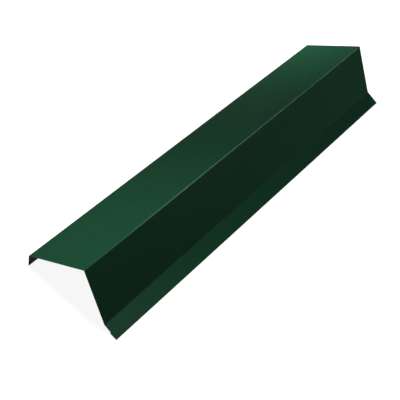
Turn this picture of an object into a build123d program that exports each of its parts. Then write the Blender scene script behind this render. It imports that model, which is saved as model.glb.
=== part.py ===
"""Verge trim: one length of painted steel sheet, folded to close the verge of a pitched roof.

The section is walked along the painted side of the sheet as flats joined by bends: lip, top flange,
outer face, kick and hem. It is drawn as it hangs on a roof, with the flange level, and then set down
as it lies unheld: a tent standing on the cut edge of the lip and the nose of the hem.
X runs along the length, the outer face looks to -Y, and the floor is z = 0.
"""
import os
from math import asin, atan2, cos, degrees, radians, sin, tan

from build123d import *

# Sizes in millimetres; widths are taken outside, from corner to corner of the folds
LENGTH = 760.0
FLANGE_WIDTH = 120.0
FACE_HEIGHT = 95.0
LIP_WIDTH = 23.5
KICK_WIDTH = 27.5
HEM_WIDTH = 13.5
SHEET_THICKNESS = 0.5
FOLD_RADIUS = 1.0
HEM_RADIUS = 0.4

# Turns of the sheet at its folds, in degrees
LIP_TURN = 60.0
RIDGE_TURN = 90.0
KICK_TURN = 35.0
HEM_OPENING = 7.0

# The painted side lies outside the lip fold, the ridge and the hem, and inside the kick bend
outer_fold_radius = FOLD_RADIUS + SHEET_THICKNESS
outer_hem_radius = HEM_RADIUS + SHEET_THICKNESS


def setback(radius, turn):
    """Distance from the sharp corner of a fold back to where its bend begins."""
    return radius * tan(radians(turn / 2))


lip_setback = setback(outer_fold_radius, LIP_TURN)
ridge_setback = setback(outer_fold_radius, RIDGE_TURN)
kick_setback = setback(FOLD_RADIUS, KICK_TURN)

lip_flat = LIP_WIDTH - lip_setback
flange_flat = FLANGE_WIDTH - lip_setback - ridge_setback
face_flat = FACE_HEIGHT - ridge_setback - kick_setback
kick_flat = KICK_WIDTH - kick_setback - outer_hem_radius
hem_flat = HEM_WIDTH - outer_hem_radius

# Section as hung, across the length: the lip rises to the flange, which runs level to the ridge
with BuildSketch() as section:
    with BuildLine():
        lip = PolarLine((0, 0), lip_flat, 180 - LIP_TURN)
        lip_fold = JernArc(lip @ 1, lip % 1, outer_fold_radius, LIP_TURN)
        flange = PolarLine(lip_fold @ 1, flange_flat, direction=lip_fold % 1)
        ridge = JernArc(flange @ 1, flange % 1, outer_fold_radius, RIDGE_TURN)
        face = PolarLine(ridge @ 1, face_flat, direction=ridge % 1)
        kick_bend = JernArc(face @ 1, face % 1, FOLD_RADIUS, -KICK_TURN)
        kick = PolarLine(kick_bend @ 1, kick_flat, direction=kick_bend % 1)
        nose = JernArc(kick @ 1, kick % 1, outer_hem_radius, 180 - HEM_OPENING)
        hem = PolarLine(nose @ 1, hem_flat, direction=nose % 1)
        offset(amount=SHEET_THICKNESS, side=Side.LEFT)
    make_face()


def floor_slope(lip_corner):
    """Slope of the line that rests on a corner of the lip's edge and under the nose of the hem."""
    reach = lip_corner - nose.center_point
    return degrees(atan2(reach.Y, reach.X) + asin(outer_hem_radius / reach.length))


# The floor meets whichever corner of the lip's cut edge stands lower
painted_corner = lip @ 0
back_corner = painted_corner + (lip % 0).rotate(Axis.Z, 90) * SHEET_THICKNESS
rest_slope = min(floor_slope(painted_corner), floor_slope(back_corner))

# Turned until the floor is level, the section is centred over the origin
lying = section.sketch.rotate(Axis.Z, -rest_slope).bounding_box()
rest_plane = Plane(
    origin=(0, -lying.center().X, -lying.min.Y),
    x_dir=(0, cos(radians(rest_slope)), -sin(radians(rest_slope))),
    z_dir=(1, 0, 0),
)

with BuildPart() as verge_trim:
    with BuildSketch(rest_plane):
        add(section.sketch)
    extrude(amount=LENGTH / 2, both=True)

os.makedirs("parts", exist_ok=True)
verge_trim.part.label = "verge_trim"
export_step(verge_trim.part, "parts/verge_trim.step")
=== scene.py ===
"""Verge trim, dressed: the folded steel sheet with its moss green paint, grey back coat and cut edges.

Everything is in metres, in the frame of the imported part: X along the length, the outer face towards -Y,
the floor at z = 0. The sheet is rebuilt here along the same folds as the solid, with finer bends.
"""

from math import asin, atan2, cos, radians, sin, tan

import bpy
from mathutils import Euler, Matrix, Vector


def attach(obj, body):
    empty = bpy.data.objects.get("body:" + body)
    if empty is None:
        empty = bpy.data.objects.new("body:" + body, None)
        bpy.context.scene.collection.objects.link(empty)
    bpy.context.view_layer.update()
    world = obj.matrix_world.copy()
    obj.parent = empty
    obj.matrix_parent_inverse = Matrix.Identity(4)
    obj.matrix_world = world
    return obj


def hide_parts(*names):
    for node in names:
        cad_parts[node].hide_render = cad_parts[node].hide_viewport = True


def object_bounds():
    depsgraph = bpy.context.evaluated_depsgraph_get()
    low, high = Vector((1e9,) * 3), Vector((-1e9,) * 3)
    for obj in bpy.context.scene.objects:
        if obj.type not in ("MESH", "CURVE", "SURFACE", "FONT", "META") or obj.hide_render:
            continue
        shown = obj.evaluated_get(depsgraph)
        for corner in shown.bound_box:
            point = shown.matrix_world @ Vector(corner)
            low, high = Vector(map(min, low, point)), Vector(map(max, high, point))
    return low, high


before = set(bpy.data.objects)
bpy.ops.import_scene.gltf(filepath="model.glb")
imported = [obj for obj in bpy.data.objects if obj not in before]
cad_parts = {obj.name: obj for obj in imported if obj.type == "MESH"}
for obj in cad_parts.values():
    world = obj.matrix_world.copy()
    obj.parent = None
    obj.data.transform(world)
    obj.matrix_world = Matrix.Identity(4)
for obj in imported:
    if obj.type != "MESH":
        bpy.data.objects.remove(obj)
cad_low, cad_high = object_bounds()

MM = 0.001

# Folds of the sheet, as in the solid: widths outside, from corner to corner, and turns in degrees
FLANGE_WIDTH = 120 * MM
FACE_HEIGHT = 95 * MM
LIP_WIDTH = 23.5 * MM
KICK_WIDTH = 27.5 * MM
HEM_WIDTH = 13.5 * MM
SHEET_THICKNESS = 0.5 * MM
FOLD_RADIUS = 1.0 * MM
HEM_RADIUS = 0.4 * MM
LIP_TURN = 60
RIDGE_TURN = 90
KICK_TURN = 35
HEM_OPENING = 7

OUTER_FOLD_RADIUS = FOLD_RADIUS + SHEET_THICKNESS
OUTER_HEM_RADIUS = HEM_RADIUS + SHEET_THICKNESS

# Mesh of the flats and the length: their steps, and the narrow strip of a flat beside each bend
FLAT_STEP = 5 * MM
FLAT_EDGE = 0.8 * MM
LENGTH_STEP = 8 * MM

# Mesh of the bends: the degrees of one piece, and the least count of pieces
BEND_STEP = 7
BEND_PIECES = 4

# Rounding of the two cut ends, and the turn in degrees from which an edge is shaded sharp
CUT_ROUNDING = 0.07 * MM
SHARP_ANGLE = 40

# Sides of the sheet, in the order of its materials
PAINTED_SIDE = 0
BACK_SIDE = 1
CUT_SIDE = 2

# Camera, fitted to the corners of the piece: place, turn in degrees, lens and sensor in millimetres
CAMERA_PLACE = (-0.98986, -0.41672, 1.10642)
CAMERA_TURN = (40.464, -12.423, -51.596)
CAMERA_LENS = 81.16
SENSOR_WIDTH = 36

# Patterns of the finish are cloudy noise: the span of its values that is put to use, and its fineness
NOISE_SPAN = (0.3, 0.7)
NOISE_DETAIL = 2

# A share that goes from none to all
WHOLE = (0, 1)

# Paint: linear colours, sheen, roller streaks, clouds and orange peel
PAINT_DEEP = (0.0087, 0.0590, 0.0271, 1)
PAINT_LIGHT = (0.0097, 0.0654, 0.0300, 1)
PAINT_ROUGHNESS = (0.34, 0.46)
SHEEN_WEIGHT = 0.028
SHEEN_ROUGHNESS = 0.25
SHEEN_IOR = 2.0
STREAK_SIZE = 5 * MM
STREAK_DRAW = 40
CLOUD_SIZE = 60 * MM
PEEL_SIZE = 1.2 * MM
PEEL_DETAIL = 1
PEEL_DEPTH = 0.01 * MM

# Streaks and clouds each carry half of the paint's tone
HALF_TONE = (0, 0.5)

# Painted highlight along the folds, partly stretched paint: each fold's share, least at the ends, runs
# there, patches
# A pale colour that stands in for a highlight along the folds, partly the real paling of stretched paint
PAINT_PALING_AND_HIGHLIGHT = (0.16, 0.36, 0.28, 1)
LIP_PALING_AND_HIGHLIGHT = 0.13
RIDGE_PALING_AND_HIGHLIGHT = 1
KICK_HIGHLIGHT = 0.2
NOSE_PALING_AND_HIGHLIGHT = 0.13
# Towards both ends the painted highlight fades away, where the light on the folds falls off
HIGHLIGHT_LEAST = 0.05
NEAR_HIGHLIGHT_RUN = 0.20
FAR_HIGHLIGHT_RUN = 0.012
PATCH_SIZE = 6 * MM
PATCH_DRAW = 6
PATCH_SPAN = (0.7, 1)

# Paint scuffed along the cut ends
PAINT_SCUFFED = (0.04, 0.06, 0.05, 1)
SCUFF_WIDTH = 1.2 * MM
SCUFF_SIZE = 1.5 * MM
SCUFF_SPAN = (0.2, 1)

# Back coat, with roller streaks and a fine grain
BACK_DEEP = (0.075, 0.072, 0.085, 1)
BACK_LIGHT = (0.105, 0.102, 0.115, 1)
BACK_ROUGHNESS = (0.5, 0.65)
BACK_SPECULAR = 0.03
ROLLER_SIZE = 3 * MM
ROLLER_DRAW = 60
ROLLER_DETAIL = 3
GRAIN_SIZE = 0.8 * MM
GRAIN_DRAW = 3
GRAIN_DETAIL = 1
GRAIN_DEPTH = 0.01 * MM

# Cut edges, with smears of paint on torn steel
EDGE_SMEAR = (0.012, 0.03, 0.02, 1)
EDGE_STEEL = (0.12, 0.125, 0.13, 1)
EDGE_METALLIC = (0, 0.8)
EDGE_ROUGHNESS = (0.45, 0.65)
EDGE_SPECULAR = 0.1
SMEAR_SIZE = 1.5 * MM
SMEAR_DETAIL = 4
DULL_SIZE = 0.4 * MM
TEAR_SIZE = 0.15 * MM
TEAR_DEPTH = 0.02 * MM

# Floor: its reach and colour, its glow by the piece, and the distances over which that rises to white
FLOOR_REACH = 12
FLOOR_PALE = (0.5, 0.5, 0.5, 1)
FLOOR_GLOW = 0.92
FLOOR_FADE = (0.42, 0.75)

# Studio: the colour of its background, and the strength of the light from all round
WHITE = (1, 1, 1, 1)
AMBIENT = 0.004

# Soft boxes: where each stands, the spot it looks at, its width and height, and its power in watts
NEAR_BOX = ((-0.27, 0.27, 0.62), (-0.75, 0.07, 0.04), 0.25, 0.26, 4.6)
FAR_BOX = ((0.445, 0.395, 0.305), (0.70, 0.23, 0.04), 0.34, 0.27, 3.6)
FRONT_BOX = ((0.62, -0.62, 0.23), (0.71, -0.07, 0.04), 1.06, 0.25, 1.28)
TOP_BOX = ((0.48, -0.75, 1.46), (0.45, 0.12, 0.04), 0.26, 0.25, 1.25)


def setback(radius, turn):
    """Distance from the sharp corner of a fold back to where its bend begins."""
    return radius * tan(radians(turn / 2))


def heading(angle):
    """Unit vector across the section, with the angle counted from +Y towards +Z."""
    return Vector((cos(radians(angle)), sin(radians(angle))))


class Walk:
    """A walk along the painted side of the sheet: places, the way in to the back at each, and its painted
    fold highlight.
    """

    def __init__(self, angle):
        self.place = Vector((0, 0))
        self.angle = angle
        self.stations = []

    def mark(self, paling_and_highlight):
        """A station at this place."""
        self.stations.append((self.place.copy(), heading(self.angle + 90), paling_and_highlight))

    def flat(self, length, paling_and_highlight_before=0, paling_and_highlight_after=0):
        """A straight stretch; in a narrow strip at each end the painted highlight of the bend beside it runs
        out.
        """
        start = self.place.copy()
        inner = length - 2 * FLAT_EDGE
        count = max(1, round(inner / FLAT_STEP))
        steps = [0] + [FLAT_EDGE + inner * i / count for i in range(count + 1)] + [length]
        palings_and_highlights = [paling_and_highlight_before] + [0] * (count + 1) + [paling_and_highlight_after]
        for step, paling_and_highlight in zip(steps, palings_and_highlights):
            self.place = start + heading(self.angle) * step
            self.mark(paling_and_highlight)

    def bend(self, radius, turn, paling_and_highlight=0):
        """A bend to the left, or to the right if turn is negative; its own two ends are the flats'.

        The painted highlight rises across the bend and is strongest at its far side.
        """
        side = 1 if turn > 0 else -1
        centre = self.place + heading(self.angle + 90) * radius * side
        start = self.angle
        count = max(BEND_PIECES, round(abs(turn) / BEND_STEP))
        for i in range(1, count):
            self.angle = start + turn * i / count
            self.place = centre - heading(self.angle + 90) * radius * side
            self.mark(paling_and_highlight * i / count)
        self.angle = start + turn
        self.place = centre - heading(self.angle + 90) * radius * side
        return centre


def folded_section():
    """Stations of the section with the flange level, and the centre of the hem's nose."""
    lip_setback = setback(OUTER_FOLD_RADIUS, LIP_TURN)
    ridge_setback = setback(OUTER_FOLD_RADIUS, RIDGE_TURN)
    kick_setback = setback(FOLD_RADIUS, KICK_TURN)
    walk = Walk(180 - LIP_TURN)
    walk.flat(LIP_WIDTH - lip_setback)
    walk.bend(OUTER_FOLD_RADIUS, LIP_TURN, LIP_PALING_AND_HIGHLIGHT)
    walk.flat(FLANGE_WIDTH - lip_setback - ridge_setback)
    walk.bend(OUTER_FOLD_RADIUS, RIDGE_TURN, RIDGE_PALING_AND_HIGHLIGHT)
    # The ridge's painted highlight runs a short way onto the face
    walk.flat(FACE_HEIGHT - ridge_setback - kick_setback, RIDGE_PALING_AND_HIGHLIGHT, KICK_HIGHLIGHT)
    walk.bend(FOLD_RADIUS, -KICK_TURN, KICK_HIGHLIGHT)
    walk.flat(KICK_WIDTH - kick_setback - OUTER_HEM_RADIUS)
    nose = walk.bend(OUTER_HEM_RADIUS, 180 - HEM_OPENING, NOSE_PALING_AND_HIGHLIGHT)
    walk.flat(HEM_WIDTH - OUTER_HEM_RADIUS)
    return walk.stations, nose


def rest_slope(stations, nose):
    """Slope of the floor under the lip's edge and the hem's nose, before the section is laid down."""
    place, inward, _ = stations[0]
    slopes = []
    for corner in (place, place + inward * SHEET_THICKNESS):
        reach = corner - nose
        slopes.append(atan2(reach.y, reach.x) + asin(OUTER_HEM_RADIUS / reach.length))
    return min(slopes)


def laid_section():
    """The section as it lies, in Y and Z: painted points, the way in to the back at each, and its painted
    fold highlight.
    """
    stations, nose = folded_section()
    slope = rest_slope(stations, nose)

    def turned(vector):
        """The vector turned until the floor is level."""
        return Vector((vector.x * cos(slope) + vector.y * sin(slope),
                       vector.y * cos(slope) - vector.x * sin(slope)))

    painted = [turned(place) for place, _, _ in stations]
    inward = [turned(way) for _, way, _ in stations]
    palings_and_highlights = [paling_and_highlight for _, _, paling_and_highlight in stations]
    shift = Vector((cad_low.y - min(point.x for point in painted),
                    cad_low.z - min(point.y for point in painted)))
    painted = [point + shift for point in painted]
    return painted, inward, palings_and_highlights


def length_rows():
    """X of each row of points across the sheet: the two cut ends, and even steps between their roundings."""
    length = cad_high.x - cad_low.x
    count = round(length / LENGTH_STEP)
    inner = length - 2 * CUT_ROUNDING
    evenly = [cad_low.x + CUT_ROUNDING + inner * i / count for i in range(count + 1)]
    return [cad_low.x] + evenly + [cad_high.x]


def sheet_points(rows, painted, inward, palings_and_highlights):
    """Points of the sheet row by row, first the painted side and then the back, and the painted fold
    highlight at each.
    """
    points = []
    point_palings_and_highlights = []
    for index, x in enumerate(rows):
        drawn_in = CUT_ROUNDING if index in (0, len(rows) - 1) else 0
        for depth in (drawn_in, SHEET_THICKNESS - drawn_in):
            for point, way, paling_and_highlight in zip(painted, inward, palings_and_highlights):
                place = point + way * depth
                points.append((x, place.x, place.y))
                point_palings_and_highlights.append(paling_and_highlight if depth == drawn_in else 0)
    return points, point_palings_and_highlights


def sheet_faces(row_count, across):
    """Faces of the sheet, with so many points across its painted side, and the side that each face is on."""
    row_size = 2 * across
    faces = []
    sides = []

    def add(face, side):
        """One more face, on the given side."""
        faces.append(face)
        sides.append(side)

    for row in range(row_count - 1):
        here = row * row_size
        there = here + row_size
        for i in range(across - 1):
            add((here + i, here + i + 1, there + i + 1, there + i), PAINTED_SIDE)
            back = across + i
            add((there + back, there + back + 1, here + back + 1, here + back), BACK_SIDE)
        for i, flip in ((0, False), (across - 1, True)):
            edge = (here + i, there + i, there + across + i, here + across + i)
            add(edge[::-1] if flip else edge, CUT_SIDE)
    last = (row_count - 1) * row_size
    for i in range(across - 1):
        add((i, across + i, across + i + 1, i + 1), CUT_SIDE)
        add((last + i, last + i + 1, last + across + i + 1, last + across + i), CUT_SIDE)
    return faces, sides


def build_sheet(materials):
    """The sheet as one mesh: painted side, back, and the cut edges round all four sides."""
    painted, inward, palings_and_highlights = laid_section()
    rows = length_rows()
    points, point_palings_and_highlights = sheet_points(rows, painted, inward, palings_and_highlights)
    faces, sides = sheet_faces(len(rows), len(painted))
    mesh = bpy.data.meshes.new("verge_trim_sheet")
    mesh.from_pydata(points, [], faces)
    # The "fold" attribute carries the painted highlight along the folds
    mesh.attributes.new("fold", "FLOAT", "POINT").data.foreach_set("value", point_palings_and_highlights)
    for material in materials:
        mesh.materials.append(material)
    mesh.polygons.foreach_set("material_index", sides)
    mesh.shade_smooth()
    mesh.set_sharp_from_angle(angle=radians(SHARP_ANGLE))
    mesh.validate()
    sheet = bpy.data.objects.new("verge_trim_sheet", mesh)
    bpy.context.scene.collection.objects.link(sheet)
    return sheet


def new_material(name):
    """A node material, with its tree and its Principled shader."""
    material = bpy.data.materials.new(name)
    material.use_nodes = True
    tree = material.node_tree
    return material, tree, tree.nodes["Principled BSDF"]


def own_place(tree):
    """Position on the object that has the material, in metres."""
    return tree.nodes.new("ShaderNodeTexCoord").outputs["Object"]


def noise(tree, size, draw=1, detail=NOISE_DETAIL):
    """Cloudy pattern with patches of about the given size, drawn out along the length."""
    mapping = tree.nodes.new("ShaderNodeMapping")
    mapping.inputs["Scale"].default_value = (1 / (size * draw), 1 / size, 1 / size)
    tree.links.new(own_place(tree), mapping.inputs["Vector"])
    texture = tree.nodes.new("ShaderNodeTexNoise")
    texture.inputs["Scale"].default_value = 1
    texture.inputs["Detail"].default_value = detail
    tree.links.new(mapping.outputs["Vector"], texture.inputs["Vector"])
    return texture.outputs["Fac"]


def spread(tree, value, source, target):
    """The value carried from one range to another and held within it."""
    node = tree.nodes.new("ShaderNodeMapRange")
    node.inputs["From Min"].default_value, node.inputs["From Max"].default_value = source
    node.inputs["To Min"].default_value, node.inputs["To Max"].default_value = target
    tree.links.new(value, node.inputs["Value"])
    return node.outputs["Result"]


def combined(tree, operation, first, second=None):
    """Two values joined by a Math node, or one value changed by it."""
    node = tree.nodes.new("ShaderNodeMath")
    node.operation = operation
    tree.links.new(first, node.inputs[0])
    if second is not None:
        tree.links.new(second, node.inputs[1])
    return node.outputs[0]


def mixed(tree, factor, first, second):
    """A colour between two others; the first may be a fixed colour or the result of another mix."""
    node = tree.nodes.new("ShaderNodeMix")
    node.data_type = "RGBA"
    tree.links.new(factor, node.inputs["Factor"])
    if isinstance(first, tuple):
        node.inputs["A"].default_value = first
    else:
        tree.links.new(first, node.inputs["A"])
    node.inputs["B"].default_value = second
    return node.outputs["Result"]


def roughen(tree, shader, height, depth):
    """A bump of the given depth on the surface and on the coat over it."""
    bump = tree.nodes.new("ShaderNodeBump")
    bump.inputs["Strength"].default_value = 1
    bump.inputs["Distance"].default_value = depth
    tree.links.new(height, bump.inputs["Height"])
    for normal in ("Normal", "Coat Normal"):
        tree.links.new(bump.outputs["Normal"], shader.inputs[normal])


def along_length(tree):
    """The X of a point on the piece."""
    split = tree.nodes.new("ShaderNodeSeparateXYZ")
    tree.links.new(own_place(tree), split.inputs["Vector"])
    return split.outputs["X"]


def fold_paling_and_highlight(tree):
    """Painted highlight along the bends, partly paint paled by stretching: uneven, and hardly at all by the
    ends.
    """
    attribute = tree.nodes.new("ShaderNodeAttribute")
    attribute.attribute_name = "fold"
    uneven = spread(tree, noise(tree, PATCH_SIZE, PATCH_DRAW), NOISE_SPAN, PATCH_SPAN)
    place = along_length(tree)
    near = spread(tree, place, (cad_low.x, cad_low.x + NEAR_HIGHLIGHT_RUN), (HIGHLIGHT_LEAST, 1))
    far = spread(tree, place, (cad_high.x - FAR_HIGHLIGHT_RUN, cad_high.x), (1, HIGHLIGHT_LEAST))
    paling_and_highlight = attribute.outputs["Fac"]
    for share in (uneven, near, far):
        paling_and_highlight = combined(tree, "MULTIPLY", paling_and_highlight, share)
    return paling_and_highlight


def scuffed_ends(tree):
    """How scuffed the paint is: most at the two cut ends, fading over a ragged margin."""
    distance = combined(tree, "ABSOLUTE", along_length(tree))
    margin = spread(tree, distance, (cad_high.x - SCUFF_WIDTH, cad_high.x), WHOLE)
    ragged = spread(tree, noise(tree, SCUFF_SIZE), NOISE_SPAN, SCUFF_SPAN)
    return combined(tree, "MULTIPLY", margin, ragged)


def paint_material():
    """Moss green polyester with a soft sheen: faint streaks, orange peel, a painted highlight on the folds
    partly from stretching.
    """
    material, tree, shader = new_material("moss_green_paint")
    streaks = noise(tree, STREAK_SIZE, STREAK_DRAW)
    clouds = noise(tree, CLOUD_SIZE)
    streak_tone = spread(tree, streaks, NOISE_SPAN, HALF_TONE)
    cloud_tone = spread(tree, clouds, NOISE_SPAN, HALF_TONE)
    tone = combined(tree, "ADD", streak_tone, cloud_tone)
    colour = mixed(tree, tone, PAINT_DEEP, PAINT_LIGHT)
    # A pale painted highlight along the folds, partly the real paling of stretched paint
    colour = mixed(tree, fold_paling_and_highlight(tree), colour, PAINT_PALING_AND_HIGHLIGHT)
    colour = mixed(tree, scuffed_ends(tree), colour, PAINT_SCUFFED)
    tree.links.new(colour, shader.inputs["Base Color"])
    tree.links.new(spread(tree, streaks, NOISE_SPAN, PAINT_ROUGHNESS), shader.inputs["Roughness"])
    shader.inputs["Specular IOR Level"].default_value = 0
    shader.inputs["Coat Weight"].default_value = SHEEN_WEIGHT
    shader.inputs["Coat Roughness"].default_value = SHEEN_ROUGHNESS
    shader.inputs["Coat IOR"].default_value = SHEEN_IOR
    roughen(tree, shader, noise(tree, PEEL_SIZE, detail=PEEL_DETAIL), PEEL_DEPTH)
    return material


def back_material():
    """Thin grey primer on the inside, streaked along the length by its roller."""
    material, tree, shader = new_material("grey_back_coat")
    streaks = noise(tree, ROLLER_SIZE, ROLLER_DRAW, ROLLER_DETAIL)
    colour = mixed(tree, spread(tree, streaks, NOISE_SPAN, WHOLE), BACK_DEEP, BACK_LIGHT)
    tree.links.new(colour, shader.inputs["Base Color"])
    tree.links.new(spread(tree, streaks, NOISE_SPAN, BACK_ROUGHNESS), shader.inputs["Roughness"])
    shader.inputs["Specular IOR Level"].default_value = BACK_SPECULAR
    roughen(tree, shader, noise(tree, GRAIN_SIZE, GRAIN_DRAW, GRAIN_DETAIL), GRAIN_DEPTH)
    return material


def edge_material():
    """Sheared edge of the galvanised steel, dull, with paint smeared over part of it."""
    material, tree, shader = new_material("cut_steel_edge")
    smear = noise(tree, SMEAR_SIZE, detail=SMEAR_DETAIL)
    colour = mixed(tree, spread(tree, smear, NOISE_SPAN, WHOLE), EDGE_SMEAR, EDGE_STEEL)
    tree.links.new(colour, shader.inputs["Base Color"])
    tree.links.new(spread(tree, smear, NOISE_SPAN, EDGE_METALLIC), shader.inputs["Metallic"])
    dulled = spread(tree, noise(tree, DULL_SIZE), NOISE_SPAN, EDGE_ROUGHNESS)
    tree.links.new(dulled, shader.inputs["Roughness"])
    shader.inputs["Specular IOR Level"].default_value = EDGE_SPECULAR
    roughen(tree, shader, noise(tree, TEAR_SIZE), TEAR_DEPTH)
    return material


def add_light(name, place, aim, width, height, power):
    """A soft box that looks at a spot and isn't seen by the camera itself."""
    light = bpy.data.lights.new(name, "AREA")
    light.shape = "RECTANGLE"
    light.size = width
    light.size_y = height
    light.energy = power
    lamp = bpy.data.objects.new(name, light)
    lamp.location = place
    lamp.rotation_euler = (Vector(aim) - Vector(place)).to_track_quat("-Z", "Y").to_euler()
    lamp.visible_camera = False
    bpy.context.scene.collection.objects.link(lamp)


def seen_background(tree):
    """1 for rays that show the background itself: straight, mirrored or seen through."""
    path = tree.nodes.new("ShaderNodeLightPath")
    total = path.outputs["Is Camera Ray"]
    for name in ("Is Glossy Ray", "Is Transmission Ray"):
        total = combined(tree, "MAXIMUM", total, path.outputs[name])
    return total


def floor_glow(tree):
    """White wherever the floor is seen, a little less round the piece so that its shadow shows."""
    distance = tree.nodes.new("ShaderNodeVectorMath")
    distance.operation = "LENGTH"
    tree.links.new(own_place(tree), distance.inputs[0])
    glow = spread(tree, distance.outputs["Value"], FLOOR_FADE, (FLOOR_GLOW, 1))
    return combined(tree, "MULTIPLY", glow, seen_background(tree))


def add_floor():
    """A pale level floor that takes the piece's shadow."""
    mesh = bpy.data.meshes.new("floor")
    corners = [(-FLOOR_REACH, -FLOOR_REACH, 0), (FLOOR_REACH, -FLOOR_REACH, 0),
               (FLOOR_REACH, FLOOR_REACH, 0), (-FLOOR_REACH, FLOOR_REACH, 0)]
    mesh.from_pydata(corners, [], [range(len(corners))])
    floor = bpy.data.objects.new("floor", mesh)
    material, tree, shader = new_material("pale_floor")
    shader.inputs["Base Color"].default_value = FLOOR_PALE
    shader.inputs["Roughness"].default_value = 1
    shader.inputs["Specular IOR Level"].default_value = 0
    shader.inputs["Emission Color"].default_value = WHITE
    tree.links.new(floor_glow(tree), shader.inputs["Emission Strength"])
    mesh.materials.append(material)
    bpy.context.scene.collection.objects.link(floor)


def add_camera():
    """The camera, at the photograph's viewing angle."""
    camera = bpy.data.cameras.new("camera")
    camera.lens = CAMERA_LENS
    camera.sensor_width = SENSOR_WIDTH
    viewer = bpy.data.objects.new("camera", camera)
    viewer.location = CAMERA_PLACE
    viewer.rotation_euler = Euler([radians(turn) for turn in CAMERA_TURN])
    bpy.context.scene.collection.objects.link(viewer)
    bpy.context.scene.camera = viewer


def set_world():
    """Dim all round, and white where it is seen."""
    world = bpy.data.worlds.new("studio")
    bpy.context.scene.world = world
    world.use_nodes = True
    tree = world.node_tree
    level = spread(tree, seen_background(tree), WHOLE, (AMBIENT, 1))
    background = tree.nodes["Background"]
    background.inputs["Color"].default_value = WHITE
    tree.links.new(level, background.inputs["Strength"])


sheet = build_sheet([paint_material(), back_material(), edge_material()])
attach(sheet, "root")
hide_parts("verge_trim")

add_floor()
add_camera()
set_world()
add_light("near_box", *NEAR_BOX)
add_light("far_box", *FAR_BOX)
add_light("front_box", *FRONT_BOX)
add_light("top_box", *TOP_BOX)
bpy.context.scene.view_settings.view_transform = "Standard"
